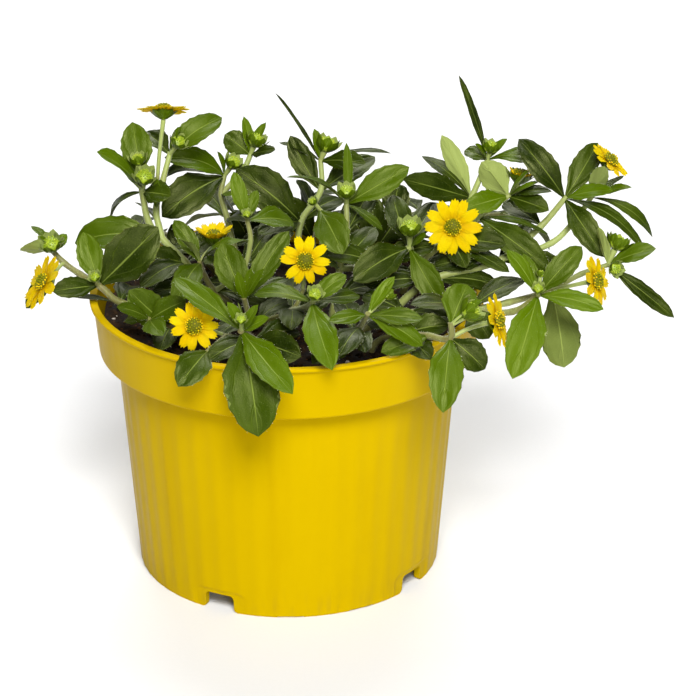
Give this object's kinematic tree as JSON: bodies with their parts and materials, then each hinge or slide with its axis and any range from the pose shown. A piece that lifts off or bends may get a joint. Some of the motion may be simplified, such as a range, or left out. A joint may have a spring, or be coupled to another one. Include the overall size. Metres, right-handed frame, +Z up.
{
  "type": "potted creeping zinnia",
  "caption": "Low spreading balcony plant with small yellow daisy-like blooms over dark green leaves, rooted in soil in a round collared nursery pot that stands on its foot ring.",
  "frame": {"origin": "on the ground, under the middle of the whole plant's outer box in X and Y; the pot's axis is at X -18.5 mm, Y -1.3 mm", "axes": "+X to the right as the pictured side is seen, -Y towards the viewer, +Z up"},
  "size_m": [0.195, 0.1546, 0.149],
  "materials": {
    "pot": "satin injection-moulded polypropylene",
    "soil": "rough moist potting compost",
    "leaf": "matt, finely hairy leaves on pale stems",
    "ray": "velvety petals",
    "disc": "grainy dome of tiny florets"
  },
  "bodies": {
    "root": {"pot": "pot", "soil": "soil", "leafy_stem_01": "leaf", "leafy_stem_02": "leaf", "leafy_stem_03": "leaf", "leafy_stem_04": "leaf", "leafy_stem_05": "leaf", "leafy_stem_06": "leaf", "leafy_stem_07": "leaf", "leafy_stem_08": "leaf", "leafy_stem_09": "leaf", "leafy_stem_10": "leaf", "leafy_stem_11": "leaf", "leafy_stem_12": "leaf", "leafy_stem_13": "leaf", "leafy_stem_14": "leaf", "leafy_stem_15": "leaf", "leafy_stem_16": "leaf", "leafy_stem_17": "leaf", "leafy_stem_18": "leaf", "leafy_stem_19": "leaf", "bloom_01_rays": "ray", "bloom_01_disc": "disc", "bloom_02_rays": "ray", "bloom_02_disc": "disc", "bloom_03_rays": "ray", "bloom_03_disc": "disc", "bloom_04_rays": "ray", "bloom_04_disc": "disc", "bloom_05_rays": "ray", "bloom_05_disc": "disc", "bloom_06_rays": "ray", "bloom_06_disc": "disc", "bloom_07_rays": "ray", "bloom_07_disc": "disc", "bloom_08_rays": "ray", "bloom_08_disc": "disc", "bloom_09_rays": "ray", "bloom_09_disc": "disc", "bloom_10_rays": "ray", "bloom_10_disc": "disc", "bloom_11_rays": "ray", "bloom_11_disc": "disc", "bloom_12_rays": "ray", "bloom_12_disc": "disc"}
  },
  "joints": []
}
